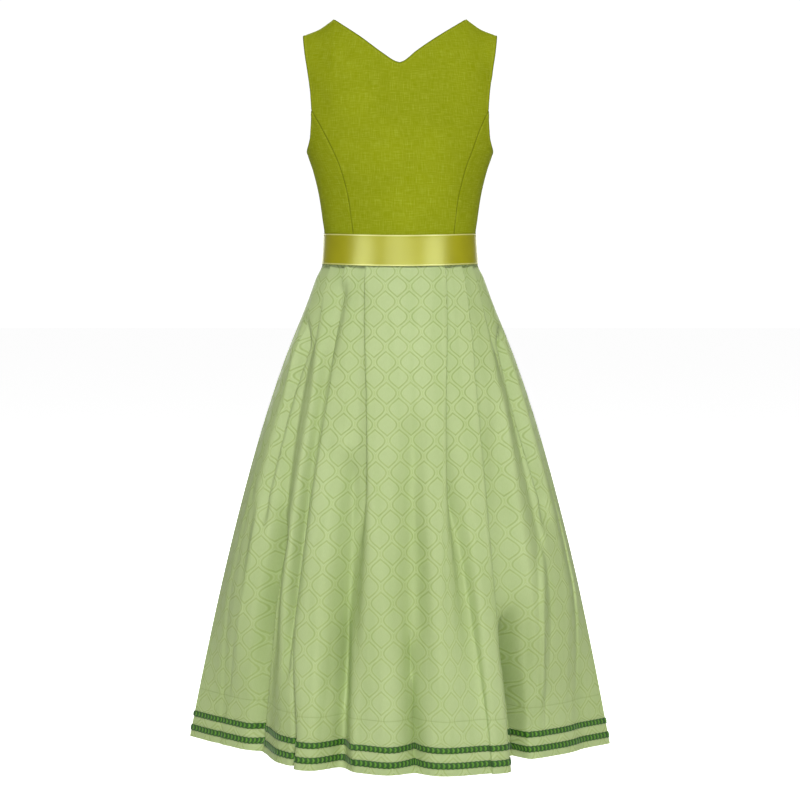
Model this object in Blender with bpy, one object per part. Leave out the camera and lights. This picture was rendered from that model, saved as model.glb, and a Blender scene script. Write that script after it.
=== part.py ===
"""Dirndl dress, worn form with no wearer: fitted sleeveless bodice, ribbon belt, pleated skirt.

Frame: metres, +Z up.  The origin lies midway between the inner ends of the two shoulder
seams.  The back of the dress faces -Y and its left edge, seen from behind, is at -X.
"""
from collections import namedtuple
from math import asin, atan2, cos, pi, radians, sin, sqrt

import bpy
from mathutils import Vector

MM = 0.001

# ---------------------------------------------------------------- driving dimensions
SEAM_GAP = 0.3 * MM             # between two pieces that are sewn together
BODICE_WALL = 1.4 * MM
SKIRT_WALL = 1.1 * MM
RIBBON_WALL = 1.0 * MM
TRIM_WALL = 1.0 * MM
TRIM_STANDOFF = 0.3 * MM

WAIST_Z = -380 * MM             # seam between bodice and skirt, under the ribbon
HEM_Z = -1187.5 * MM
HEM_BAND = 50 * MM              # lowest stretch of the skirt, which carries the braids
HEM_TILT = -0.018               # rise of the hem per metre towards -X
RIBBON_WIDTH = 50 * MM
RIBBON_MID_Z = -378 * MM
RIBBON_DIP = 5 * MM             # the ribbon sits a little lower at centre back and front
RIBBON_LAP = 45 * MM            # plain lapped end at the front
LAP_LIFT = 1.6 * MM             # how far the lapped end lies over the band's other end

# ---------------------------------------------------------------- body ovals
Oval = namedtuple("Oval", "z half_width back_depth front_depth")      # millimetres

TORSO = [
    Oval(0, 176, 72, 80),
    Oval(-60, 174, 92, 98),
    Oval(-120, 168, 102, 112),
    Oval(-175, 160, 105, 124),
    Oval(-219.5, 152.5, 104, 129),
    Oval(-250, 142.6, 101, 126),
    Oval(-290, 133, 97, 113),
    Oval(-330, 127, 94.5, 99),
    Oval(-355, 124, 94, 95),
    Oval(-380, 124, 94, 95),
]
SKIRT_OVAL = [
    Oval(-380, 125, 94.5, 95.5),
    Oval(-404, 127.6, 96.5, 98),
    Oval(-426, 137.5, 102, 105),
    Oval(-466, 152, 111, 115),
    Oval(-545, 184, 130, 134),
    Oval(-627, 212.5, 148, 152),
    Oval(-750, 249, 171, 176),
    Oval(-907.5, 288.5, 195, 202),
    Oval(-1050, 319, 213, 221),
    Oval(-1187.5, 346, 229, 238),
]

# ---------------------------------------------------------------- pleats of the skirt
# Each pleat has a row for each of four heights: under the ribbon, hip, knee and hem.  Its
# outer edge stands edge_deg from the centre line, edge_in below the oval.  Behind it the
# cloth turns back by `tuck` (negative where the fold has opened into a valley beyond the
# edge) and `drop` deeper, then turns again and reaches its next crest `crest_out` beyond
# the edge, `crest_in` below the oval.  Lengths are millimetres.
Pleat = namedtuple("Pleat", "edge_deg edge_in tuck drop crest_out crest_in")
LEVELS = [-402 * MM, -627 * MM, -907.5 * MM, HEM_Z + HEM_BAND]
FOLD_RADIUS = [0.95 * MM, 2.6 * MM, 6 * MM, 8 * MM]
SOFTNESS = [0.0, 0.25, 0.55, 0.8]

LEFT_PLEATS = {
    "A": [Pleat(25.5, 0, 42, 1.6, 2, 3.8), Pleat(14.4, 0, 26, 3, 34, 5),
          Pleat(9.4, 0, -14, 20, 72, 0), Pleat(8.6, 6, -22, 18, 84, 0)],
    "B": [Pleat(43.9, 0, 34, 5.4, 2, 3.8), Pleat(33.7, 0, 22, 4, 18, 7),
          Pleat(34.3, 2, 16, 14, 9, 18), Pleat(28.2, -2, 14, 8, 14, 16)],
    "C": [Pleat(63.0, 0, 26, 5.0, 2, 3.8), Pleat(43.0, 4, -22, 10, 56, 3),
          Pleat(40.2, 10, -14, 20, 56, 16), Pleat(33.5, 22, -46, 32, 140, 54)],
    "D": [Pleat(79.0, 0, 14, 3.4, 2, 3.8), Pleat(65.0, 0, -8, 2, 30, 2),
          Pleat(61.7, 4, -16, 1.5, 52, 4), Pleat(62.5, 52, -20, -6, 66, 33)],
}
RIGHT_PLEATS = {
    "A": [Pleat(34.3, 0, 42, 1.6, 2, 3.8), Pleat(20.1, 0, 24, 3, 24, 5),
          Pleat(14.4, 0, -14, 11, 50, 2), Pleat(12.7, -3, -36, 6, 68, 0)],
    "B": [Pleat(51.4, 0, 30, 5.4, 2, 3.8), Pleat(35.8, 0, 24, 4, 20, 7),
          Pleat(30.9, 0, 20, 14, 16, 24), Pleat(29.6, 2, 26, 52, 54, 100)],
    "C": [Pleat(67.0, 0, 24, 5.0, 2, 3.8), Pleat(50.3, 2, -22, 9, 48, 4),
          Pleat(48.0, 6, -16, 4, 50, 9), Pleat(43.4, 60, -20, -2, 58, 56)],
    "D": [Pleat(81.0, 0, 12, 3.4, 2, 3.8), Pleat(73.0, 0, -6, 2, 26, 2),
          Pleat(70.0, 4, -12, 1.5, 38, 3), Pleat(64.0, 49, -14, -3, 62, 38)],
}
CentreKey = namedtuple("CentreKey", "deg inset")
CENTRE_KEYS = [
    [CentreKey(-10.6, 0), CentreKey(-5.9, 0), CentreKey(-3.8, 0), CentreKey(-3.0, -2)],
    [CentreKey(1.4, 0), CentreKey(1.6, 2), CentreKey(4.7, 16), CentreKey(4.0, 17)],
    [CentreKey(21.6, 0), CentreKey(12.0, 0), CentreKey(9.6, 1), CentreKey(8.6, -1)],
]
SKIRT_ROWS = [-404, -440, -475, -510, -560, -627, -760, -907.5, -1040]     # between waist and hem band
PER_FOLD = 2                    # points along each rounded fold

# ---------------------------------------------------------------- braids on the hem
BraidRow = namedtuple("BraidRow", "name low high")             # heights above the hem
BRAIDS = [
    BraidRow("trim_lower", 10.5 * MM, 20 * MM),
    BraidRow("trim_upper", 33.5 * MM, 42.5 * MM),
]

# ---------------------------------------------------------------- seams of the bodice
# Points are (x, z) in millimetres, from the waist upwards; fronts are mirrored.
BACK_PRINCESS_LEFT = [(-74, -380), (-75.7, -350), (-83, -298), (-93, -258), (-105.4, -226),
                      (-124.3, -188), (-143.2, -154)]
BACK_PRINCESS_RIGHT = [(85.5, -380), (87.4, -350), (92.3, -307), (98.5, -277), (110.9, -235),
                       (126.3, -193), (143.2, -154)]
BACK_ARMHOLE_LOW = [(152.5, -219.5), (150.6, -212), (146.6, -200), (144.4, -178), (143.2, -154)]
BACK_ARMHOLE_HIGH = [(143.2, -154), (145.5, -124), (150.5, -90), (155.7, -60), (160, -27.5)]
FRONT_ARMHOLE_LOW = [(152.5, -219.5), (148, -209), (140, -192), (135, -172), (133.5, -150)]
SHOULDER = [(160, -27.5), (135, -17.5), (109, 0)]
BACK_NECK = [(-109, 0), (-65, -34), (-26, -66), (-6, -79.5), (0, -81), (6, -78.5), (26, -61),
             (65, -31.5), (109, 0)]
# Rows of a front panel from the waist up: its inner edge is the centre front and then the
# neckline, its outer edge the princess seam and then the armhole.
FrontRow = namedtuple("FrontRow", "in_x in_z out_x out_z")
FRONT_ROWS = [
    FrontRow(0, -380, 66, -380), FrontRow(0, -350, 68, -350), FrontRow(0, -314, 73.5, -314),
    FrontRow(0, -278, 80, -278), FrontRow(0, -241, 86.5, -241), FrontRow(0, -204, 94.5, -206),
    FrontRow(46, -199, 97.5, -198), FrontRow(72, -184, 105, -183),
    FrontRow(86, -162, 118, -165), FrontRow(94, -135, 133.5, -150),
    FrontRow(101, -90, 137, -108), FrontRow(105, -48, 147, -64), FrontRow(109, 0, 160, -27.5),
]
PRINCESS_TOP = 9                # row where the princess seam meets the armhole
BACK_NECK_TIP = 4               # the point of the V in BACK_NECK
SIDE_SEAM = [(124, -355), (127, -330), (133, -290), (142.6, -250), (152.5, -219.5)]
SEAM_ROWS = 7                   # faces up the seams, the armhole and across the panels
ARMHOLE_ROWS = 4
SHOULDER_STEPS = 2
NECK_STEPS = 5
FRONT_STEPS = 4
SIDE_STEPS = 6
SHOULDER_ROLL = 150 * MM        # height over which the torso closes to the shoulder seam


# ---------------------------------------------------------------- rows of the ribbon
# Share of the width down from the top edge, and how far the band's middle lies off the
# cloth under it.
RibbonRow = namedtuple("RibbonRow", "share clear")
RIBBON_ROWS = [RibbonRow(0.0, 2.7 * MM), RibbonRow(0.5, 1.9 * MM), RibbonRow(1.0, 1.7 * MM)]
RIBBON_POINTS = 72


# ---------------------------------------------------------------- small helpers
def monotone(xs, ys, x):
    """Smooth interpolation that never overshoots; xs run either way."""
    if xs[0] > xs[-1]:
        xs, ys = xs[::-1], ys[::-1]
    if x <= xs[0]:
        return ys[0]
    if x >= xs[-1]:
        return ys[-1]
    last = len(xs) - 1
    steps = [(ys[i + 1] - ys[i]) / (xs[i + 1] - xs[i]) for i in range(last)]
    slopes = [steps[0]] + [0.0] * (last - 1) + [steps[-1]]
    for i in range(1, last):
        before, after = steps[i - 1], steps[i]
        if before * after > 0:
            slopes[i] = 2 * before * after / (before + after)
    i = max(k for k in range(last) if xs[k] <= x)
    width = xs[i + 1] - xs[i]
    t = (x - xs[i]) / width
    return ((1 + 2 * t) * (1 - t) ** 2 * ys[i] + t * (1 - t) ** 2 * width * slopes[i]
            + t * t * (3 - 2 * t) * ys[i + 1] - t * t * (1 - t) * width * slopes[i + 1])


def oval_at(table, z, front):
    """Half width and half depth of the body at height z, in metres."""
    heights = [row.z * MM for row in table]
    depths = [row.front_depth if front else row.back_depth for row in table]
    return (monotone(heights, [row.half_width * MM for row in table], z),
            monotone(heights, [depth * MM for depth in depths], z))


def along(points, t):
    """Point at share t of a smooth line through the given points."""
    lengths = [0.0]
    for a, b in zip(points, points[1:]):
        lengths.append(lengths[-1] + sqrt((a[0] - b[0]) ** 2 + (a[1] - b[1]) ** 2))
    at = t * lengths[-1]
    return tuple(monotone(lengths, [p[k] for p in points], at) for k in (0, 1))


def material(name, colour, roughness):
    made = bpy.data.materials.new(name)
    made.use_nodes = True
    shader = made.node_tree.nodes["Principled BSDF"]
    shader.inputs["Base Color"].default_value = (*colour, 1.0)
    shader.inputs["Roughness"].default_value = roughness
    shader.inputs["Metallic"].default_value = 0.0
    return made


def wall(name, inner, outer, closed, finish):
    """One closed body between two grids of points, rows by columns."""
    rows, cols = len(inner), len(inner[0])
    size = rows * cols
    points = [p for grid in (inner, outer) for row in grid for p in row]
    faces = []

    def quad(a, b, c, d):
        faces.append((a, b, c))
        faces.append((a, c, d))

    spans = cols if closed else cols - 1
    for r in range(rows - 1):
        for c in range(spans):
            a, b = r * cols + c, r * cols + (c + 1) % cols
            d, e = a + cols, b + cols
            faces.extend([(a, b, e), (a, e, d)])
            faces.extend([(size + a, size + e, size + b), (size + a, size + d, size + e)])
    for c in range(spans):
        a, b = c, (c + 1) % cols
        quad(b, a, size + a, size + b)
        a, b = (rows - 1) * cols + c, (rows - 1) * cols + (c + 1) % cols
        quad(a, b, size + b, size + a)
    if not closed:
        for r in range(rows - 1):
            a, b = r * cols, (r + 1) * cols
            quad(a, b, size + b, size + a)
            a, b = a + cols - 1, b + cols - 1
            quad(b, a, size + a, size + b)
    mesh = bpy.data.meshes.new(name)
    mesh.from_pydata([tuple(p) for p in points], [], faces)
    mesh.update()
    if signed_volume(mesh) < 0:
        mesh.flip_normals()
    mesh.shade_smooth()
    mesh.set_sharp_from_angle(angle=radians(40))
    mesh.materials.append(finish)
    piece = bpy.data.objects.new(name, mesh)
    bpy.context.scene.collection.objects.link(piece)
    return piece


def signed_volume(mesh):
    total = 0.0
    for face in mesh.polygons:
        a, b, c = (mesh.vertices[i].co for i in face.vertices)
        total += a.dot(b.cross(c)) / 6
    return total


# ---------------------------------------------------------------- skirt
def level_values(values, z):
    """Value at height z of a quantity given at the four pleat levels."""
    return monotone(LEVELS, values, z)


def fold_keys(z, front):
    """Corner points of the skirt's section at height z, as (angle, inset, rounding)."""
    radius = level_values(FOLD_RADIUS, z)
    sides = (RIGHT_PLEATS, LEFT_PLEATS) if front else (LEFT_PLEATS, RIGHT_PLEATS)
    keys = []
    for side, pleats in zip((-1, 1), sides):
        run = []
        for levels in pleats.values():
            run.extend(pleat_keys(levels, z, radius, front))
        run = [(side * angle, inset, rounding) for angle, inset, rounding in run]
        keys.append(run)
    centre = []
    for levels in CENTRE_KEYS:
        mirror = -1 if front else 1
        angle = mirror * radians(level_values([key.deg for key in levels], z))
        centre.append((angle, level_values([key.inset * MM for key in levels], z), None))
    if front:
        centre.reverse()
    return keys[0][::-1] + centre + keys[1]


def pleat_keys(levels, z, radius, front):
    edge = radians(level_values([p.edge_deg for p in levels], z))
    inset, tuck, drop, crest_out, crest_in = (
        level_values([p[i] * MM for p in levels], z) for i in range(1, 6))
    half_width, depth = oval_at(SKIRT_OVAL, z, front)

    def turned(out, angle=edge):
        return out / sqrt((half_width * cos(angle)) ** 2 + (depth * sin(angle)) ** 2)

    lean = atan2(drop, -tuck) / 2
    step_out, step_in = 2 * radius * cos(lean), 2 * radius * sin(lean)
    second = (step_out, inset + step_in)
    third = (step_out - tuck, inset + step_in + drop)
    fourth = (2 * step_out - tuck, inset + 2 * step_in + drop)
    crest = (crest_out, crest_in)
    places = [((0, inset), radius), (second, radius), (between(second, third), None),
              (third, radius), (fourth, radius), (between(fourth, crest), None), (crest, None)]
    return [(edge + turned(out), deep, rounding) for (out, deep), rounding in places]


def between(first, second):
    return (first[0] + second[0]) / 2, (first[1] + second[1]) / 2


def skirt_section(z, front, per_fold):
    """Points (x, y) and outward normals of the skirt's middle surface at height z."""
    half_width, depth = oval_at(SKIRT_OVAL, z, front)
    facing = 1 if front else -1
    softness = level_values(SOFTNESS, z)
    seam_angle = pi / 2 - SEAM_GAP / 2 / depth
    corners = [(-seam_angle, 0.0, None)] + fold_keys(z, front) + [(seam_angle, 0.0, None)]
    flat = []
    for angle, inset, rounding in corners:
        along_x, along_y = half_width * sin(angle), facing * depth * cos(angle)
        out = Vector((along_x / half_width ** 2, along_y / depth ** 2)).normalized()
        flat.append((Vector((along_x, along_y)) - out * inset, rounding))
    points, normals = [], []

    def add(point, tangent):
        points.append(point)
        normals.append(Vector((-facing * tangent.y, facing * tangent.x)).normalized())

    add(flat[0][0], Vector((0.0, facing)))
    for (before, _), (corner, rounding), (after, _) in zip(flat, flat[1:], flat[2:]):
        start = cut_point(corner, before, rounding, softness)
        end = cut_point(corner, after, rounding, softness)
        steps = per_fold if rounding else max(1, per_fold // 2)
        for step in range(steps):
            t = (step + 0.5) / steps
            point = start * (1 - t) ** 2 + corner * 2 * t * (1 - t) + end * t * t
            add(point, (corner - start) * (1 - t) + (end - corner) * t)
    add(flat[-1][0], Vector((0.0, -facing)))
    return points, normals


def cut_point(corner, neighbour, rounding, softness):
    """Where a rounded corner leaves the straight line towards its neighbour."""
    span = neighbour - corner
    half = span.length / 2
    if rounding is None:
        cut = half
    else:
        tight = min(rounding, half)
        cut = tight + softness * (half - tight)
    return corner + span.normalized() * cut


def skirt_rows(front, per_fold=PER_FOLD):
    """Sections from the waist to the hem, as (height, points, normals)."""
    rows = []
    top = WAIST_Z - SEAM_GAP / 2
    for z in [top] + [row * MM for row in SKIRT_ROWS]:
        rows.append((z, *skirt_section(z, front, per_fold)))
    band_top = HEM_Z + HEM_BAND
    wide = oval_at(SKIRT_OVAL, HEM_Z, front)[0]
    narrow = oval_at(SKIRT_OVAL, band_top, front)[0]
    points, normals = skirt_section(band_top, front, per_fold)
    rows.append((band_top, points, normals))
    rows.append((HEM_Z, [p * (wide / narrow) for p in points], normals))
    return rows


def hem_tilt(x, z):
    """The hem rises a little towards -X; the rise fades out towards the knee."""
    knee = LEVELS[2]
    share = min(1.0, max(0.0, (knee - z) / (knee - (HEM_Z + HEM_BAND))))
    return HEM_TILT * x * share


def lifted(point, normal, offset, z):
    x, y = point + normal * offset
    return Vector((x, y, z + hem_tilt(point.x, z)))


def make_skirt(front, finish):
    rows = skirt_rows(front)
    inner = [[lifted(p, n, -SKIRT_WALL / 2, z) for p, n in zip(ps, ns)] for z, ps, ns in rows]
    outer = [[lifted(p, n, SKIRT_WALL / 2, z) for p, n in zip(ps, ns)] for z, ps, ns in rows]
    return wall("skirt_front" if front else "skirt_back", inner, outer, False, finish)


def make_braid(row, front, finish):
    """A flat braid that follows every fold of the hem, just clear of the cloth."""
    (top_z, top, normals), (hem_z, hem, _) = skirt_rows(front)[-2:]
    grids = []
    base = SKIRT_WALL / 2 + TRIM_STANDOFF
    for offset in (base, base + TRIM_WALL):
        grid = []
        for height in (row.high, row.low):
            share = height / HEM_BAND
            z = hem_z + height
            grid.append([lifted(a * share + b * (1 - share), n, offset, z)
                         for a, b, n in zip(top, hem, normals)])
        grids.append(grid)
    return wall(f"{row.name}_{'front' if front else 'back'}", grids[0], grids[1], False, finish)


# ---------------------------------------------------------------- bodice
def shoulder_height(x):
    """Height of the shoulder seam over the point x."""
    line = [(p[0] * MM, p[1] * MM) for p in SHOULDER]
    return monotone([p[0] for p in line], [p[1] for p in line], abs(x))


def torso_point(angle, z, front):
    """Point of the bodice's middle surface; angle runs from one side seam to the other."""
    half_width, depth = oval_at(TORSO, z, front)
    x = half_width * sin(angle)
    below = max(0.0, shoulder_height(x) - z)
    open_share = min(1.0, below / SHOULDER_ROLL)
    closing = sqrt(max(0.0, 1 - (1 - open_share) ** 2))
    return Vector((x, (1 if front else -1) * depth * cos(angle) * closing, z))


def torso_normal(angle, z, front):
    """Outward normal of the torso, from two short steps along it."""
    turn, rise = 0.01, 1.5 * MM
    here = torso_point(angle, z, front)
    across = torso_point(angle + turn, z, front) - torso_point(angle - turn, z, front)
    if z + rise > shoulder_height(here.x):
        up = here - torso_point(angle, z - rise, front)
    else:
        up = torso_point(angle, z + rise, front) - here
    normal = across.cross(up).normalized()
    return -normal if front else normal


def surface_place(x, z):
    """(angle, z) of a seam point given by its x and z in millimetres."""
    half_width = oval_at(TORSO, z * MM, False)[0]
    return asin(max(-1.0, min(1.0, x * MM / half_width))), z * MM


def seam(points):
    """Stretches of a seam; the first is the short one that the ribbon covers."""
    return [(points[:2], 1), (points[1:], SEAM_ROWS - 1)]


def edge_points(stretches):
    """Places along one edge of a panel, from (points, steps) stretches in order."""
    places = []
    for points, steps in stretches:
        on_torso = [surface_place(*p) for p in points]
        places.extend(along(on_torso, i / steps) for i in range(steps))
    places.append(surface_place(*stretches[-1][0][-1]))
    return places


def make_panel(name, bottom, top, left, right, front, finish):
    """A panel filled in between its four edges."""
    low, high, west, east = (edge_points(edge) for edge in (bottom, top, left, right))
    rows, cols = len(west) - 1, len(low) - 1
    inner, outer = [], []
    for r in range(rows + 1):
        v = r / rows
        inner.append([])
        outer.append([])
        for c in range(cols + 1):
            u = c / cols
            angle, z = (
                (1 - v) * low[c][k] + v * high[c][k] + (1 - u) * west[r][k] + u * east[r][k]
                - (1 - u) * (1 - v) * low[0][k] - u * (1 - v) * low[-1][k]
                - (1 - u) * v * high[0][k] - u * v * high[-1][k] for k in (0, 1))
            normal = torso_normal(angle, z, front)
            depth = oval_at(TORSO, z, front)[1]
            gap = SEAM_GAP / 2 / depth
            angle += gap * (c == 0) - gap * (c == cols)
            z += SEAM_GAP / 2 * (r == 0)
            point = torso_point(angle, z, front)
            if shoulder_height(point.x) - z < 0.5 * MM:
                point.y = (1 if front else -1) * SEAM_GAP / 2
                normal = Vector((normal.x, 0.0, abs(normal.z))).normalized()
            inner[-1].append(point - normal * BODICE_WALL / 2)
            outer[-1].append(point + normal * BODICE_WALL / 2)
    return wall(name, inner, outer, False, finish)


def mirrored(points):
    return [(-x, z) for x, z in points]


def reversed_edge(stretches):
    return [(points[::-1], steps) for points, steps in stretches[::-1]]


def mirrored_edge(stretches):
    return [(mirrored(points), steps) for points, steps in stretches]


def row_pairs(rows):
    return zip(rows, rows[1:])


def make_bodice(finish):
    waist = TORSO[-1].z
    waist_half = TORSO[-1].half_width
    side_points = [(waist_half, waist), *SIDE_SEAM]
    side_right = seam(side_points)
    side_left = mirrored_edge(side_right)
    shoulder = [(SHOULDER, SHOULDER_STEPS)]
    armhole_high = [(BACK_ARMHOLE_HIGH, ARMHOLE_ROWS)]
    left_x, right_x = BACK_PRINCESS_LEFT[0][0], BACK_PRINCESS_RIGHT[0][0]
    neck_left, neck_right = BACK_NECK[:BACK_NECK_TIP + 1], BACK_NECK[BACK_NECK_TIP:]
    top = (mirrored_edge(shoulder) + [(neck_left, NECK_STEPS), (neck_right, NECK_STEPS)]
           + reversed_edge(shoulder))
    princess_left, princess_right = seam(BACK_PRINCESS_LEFT), seam(BACK_PRINCESS_RIGHT)
    make_panel("back_centre",
               [([(left_x, waist), (right_x, waist)], 2 * (SHOULDER_STEPS + NECK_STEPS))], top,
               princess_left + mirrored_edge(armhole_high), princess_right + armhole_high,
               False, finish)
    low_armhole = [(BACK_ARMHOLE_LOW, SIDE_STEPS)]
    make_panel("back_side_left", [([(-waist_half, waist), (left_x, waist)], SIDE_STEPS)],
               mirrored_edge(low_armhole), side_left, princess_left, False, finish)
    make_panel("back_side_right", [([(right_x, waist), (waist_half, waist)], SIDE_STEPS)],
               reversed_edge(low_armhole), princess_right, side_right, False, finish)

    inner_edge = [([(row.in_x, row.in_z) for row in pair], 1) for pair in row_pairs(FRONT_ROWS)]
    outer_edge = [([(row.out_x, row.out_z) for row in pair], 1) for pair in row_pairs(FRONT_ROWS)]
    princess = outer_edge[:PRINCESS_TOP]
    side_front = [(side_points[:2], 1), (side_points[1:], PRINCESS_TOP - 1)]
    seam_x = FRONT_ROWS[0].out_x
    top = reversed_edge([(SHOULDER, FRONT_STEPS)])
    bottom = [([(0, waist), (seam_x, waist)], FRONT_STEPS)]
    side_bottom = [([(seam_x, waist), (waist_half, waist)], SIDE_STEPS)]
    side_top = reversed_edge([(FRONT_ARMHOLE_LOW, SIDE_STEPS)])
    make_panel("front_right", bottom, top, inner_edge, outer_edge, True, finish)
    make_panel("front_side_right", side_bottom, side_top, princess, side_front, True, finish)
    bottom, top, side_bottom, side_top = (
        mirrored_edge(reversed_edge(edge)) for edge in (bottom, top, side_bottom, side_top))
    make_panel("front_left", bottom, top, mirrored_edge(outer_edge), mirrored_edge(inner_edge),
               True, finish)
    make_panel("front_side_left", side_bottom, side_top, mirrored_edge(side_front),
               mirrored_edge(princess), True, finish)


# ---------------------------------------------------------------- ribbon belt
def make_ribbon(finish):
    """A flat band round the waist whose ends lap at centre front."""
    waist_half = oval_at(TORSO, WAIST_Z, True)[0]
    lap_angle = RIBBON_LAP / 2 / waist_half
    first, last = pi - lap_angle, 3 * pi + lap_angle
    inner, outer = [], []
    for row in RIBBON_ROWS:
        inner.append([])
        outer.append([])
        for i in range(RIBBON_POINTS + 1):
            angle = first + (last - first) * i / RIBBON_POINTS
            front = cos(angle) < 0
            dip = RIBBON_DIP * abs(cos(angle)) ** 2
            z = RIBBON_MID_Z + RIBBON_WIDTH * (0.5 - row.share) - dip
            half_width, depth = oval_at(TORSO if z > WAIST_Z else SKIRT_OVAL, z, front)
            over = 1 + (angle - last + 2.2 * lap_angle) / (0.8 * lap_angle)
            clear = row.clear + LAP_LIFT * min(1.0, max(0.0, over))
            out = Vector((sin(angle) / half_width, -cos(angle) / depth)).normalized()
            x = half_width * sin(angle) + out.x * clear
            y = -depth * cos(angle) + out.y * clear
            half = RIBBON_WALL / 2
            inner[-1].append(Vector((x - out.x * half, y - out.y * half, z)))
            outer[-1].append(Vector((x + out.x * half, y + out.y * half, z)))
    return wall("ribbon", inner, outer, False, finish)


# ---------------------------------------------------------------- build
def main():
    for item in list(bpy.data.objects):
        bpy.data.objects.remove(item, do_unlink=True)
    linen = material("bodice_linen", (0.28, 0.33, 0.02), 0.8)
    satin = material("ribbon_satin", (0.55, 0.58, 0.16), 0.3)
    jacquard = material("skirt_jacquard", (0.46, 0.57, 0.27), 0.65)
    braid = material("hem_braid", (0.04, 0.16, 0.02), 0.6)
    make_bodice(linen)
    make_ribbon(satin)
    for front in (False, True):
        make_skirt(front, jacquard)
        for row in BRAIDS:
            make_braid(row, front, braid)


main()
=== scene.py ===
from collections import namedtuple
from math import asin, atan2, cos, pi, radians, sin, sqrt

import bpy
import numpy as np
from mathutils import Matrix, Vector


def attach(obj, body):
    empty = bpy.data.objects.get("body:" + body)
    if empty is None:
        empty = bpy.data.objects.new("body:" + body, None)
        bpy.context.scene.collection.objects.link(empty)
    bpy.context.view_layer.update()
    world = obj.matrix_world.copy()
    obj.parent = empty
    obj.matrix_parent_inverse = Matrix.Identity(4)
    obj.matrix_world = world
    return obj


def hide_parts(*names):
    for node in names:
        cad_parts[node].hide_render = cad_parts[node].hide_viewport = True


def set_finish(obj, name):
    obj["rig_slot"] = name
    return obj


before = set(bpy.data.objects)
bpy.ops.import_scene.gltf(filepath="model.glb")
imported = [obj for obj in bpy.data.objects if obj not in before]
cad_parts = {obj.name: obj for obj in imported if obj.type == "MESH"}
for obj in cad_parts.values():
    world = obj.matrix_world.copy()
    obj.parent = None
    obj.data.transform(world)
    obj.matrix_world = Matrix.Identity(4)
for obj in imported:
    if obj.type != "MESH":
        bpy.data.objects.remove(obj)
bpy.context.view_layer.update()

MM = 0.001

# ---- dimensions ----
SEAM_GAP = 0.04 * MM            # sewn edges all but touch
BODICE_WALL = 1.4 * MM
SKIRT_WALL = 1.1 * MM
RIBBON_WALL = 0.8 * MM
TRIM_STANDOFF = 0.3 * MM

WAIST_Z = -380 * MM             # seam between bodice and skirt, under the ribbon
HEM_Z = -1187.5 * MM
HEM_BAND = 50 * MM              # lowest stretch of the skirt, which carries the braids
HEM_TILT = -0.018               # rise of the hem per metre towards -X
HEM_TURN_UP = 85 * MM           # height of the hem's stitched line
RIBBON_WIDTH = 50 * MM
RIBBON_MID_Z = -378 * MM
RIBBON_DIP = 5 * MM             # the ribbon sits a little lower at centre back and front
RIBBON_LAP = 45 * MM            # plain lapped end at the front
LAP_LIFT = 1.6 * MM             # how far the lapped end lies over the band's other end
RIBBON_CLEAR = 2.7 * MM         # its middle over the body at the top edge
RIBBON_FLARE = 3.2 * MM         # how much further it stands off at the bottom edge
SELVEDGE_IN = 1.3 * MM          # thick line of the ribbon, in from each edge
SELVEDGE_RISE, SELVEDGE_SPREAD = 0.28 * MM, 1.7 * MM

# ---- fineness ----
FINE = 6        # faces of the bodice for each face of the plain solid
FOLD_POINTS = 6                 # round each fold of the skirt
SKIRT_ROWS = 100               # from the waist to the hem band
SKIRT_STEP = 8 * MM          # widest face of the skirt
BAND_ROWS = 9                                   # within the hem band
BRAID_STEP = 1.3 * MM
BRAID_POINTS = 10               # across a braid
RIBBON_ROWS, RIBBON_POINTS = ((27, 433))
STITCH_POINTS = 40                              # along each face of a seam, to measure from
SHARP = radians(50)                             # edges that turn more than this show sharp

# ---- body ovals ----
Oval = namedtuple("Oval", "z half_width back_depth front_depth")      # millimetres

TORSO = [
    Oval(0, 176, 72, 80),
    Oval(-60, 174, 92, 98),
    Oval(-120, 168, 102, 112),
    Oval(-175, 160, 105, 124),
    Oval(-219.5, 152.5, 104, 129),
    Oval(-250, 142.6, 101, 126),
    Oval(-290, 133, 97, 113),
    Oval(-330, 127, 94.5, 99),
    Oval(-355, 124, 94, 95),
    Oval(-380, 124, 94, 95),
]
SKIRT_OVAL = [
    Oval(-380, 125, 94.5, 95.5),
    Oval(-404, 127.6, 96.5, 98),
    Oval(-426, 137.5, 102, 105),
    Oval(-466, 152, 111, 115),
    Oval(-545, 184, 130, 134),
    Oval(-627, 212.5, 148, 152),
    Oval(-750, 249, 171, 176),
    Oval(-907.5, 288.5, 195, 202),
    Oval(-1050, 319, 213, 221),
    Oval(-1187.5, 346, 229, 238),
]

# ---- pleats of the skirt ----
# One row for each of four heights: under the ribbon, hip, knee and hem.  The outer edge of a
# pleat stands edge_deg from the centre line, edge_in below the oval; behind it the cloth
# turns back by `tuck` and `drop` deeper, turns again and reaches its next crest `crest_out`
# beyond the edge, `crest_in` below the oval.
Pleat = namedtuple("Pleat", "edge_deg edge_in tuck drop crest_out crest_in")
LEVELS = [-402 * MM, -627 * MM, -907.5 * MM, HEM_Z + HEM_BAND]
FOLD_RADIUS = [0.95 * MM, 2.6 * MM, 6 * MM, 8 * MM]
SOFTNESS = [0.0, 0.25, 0.55, 0.8]

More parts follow.
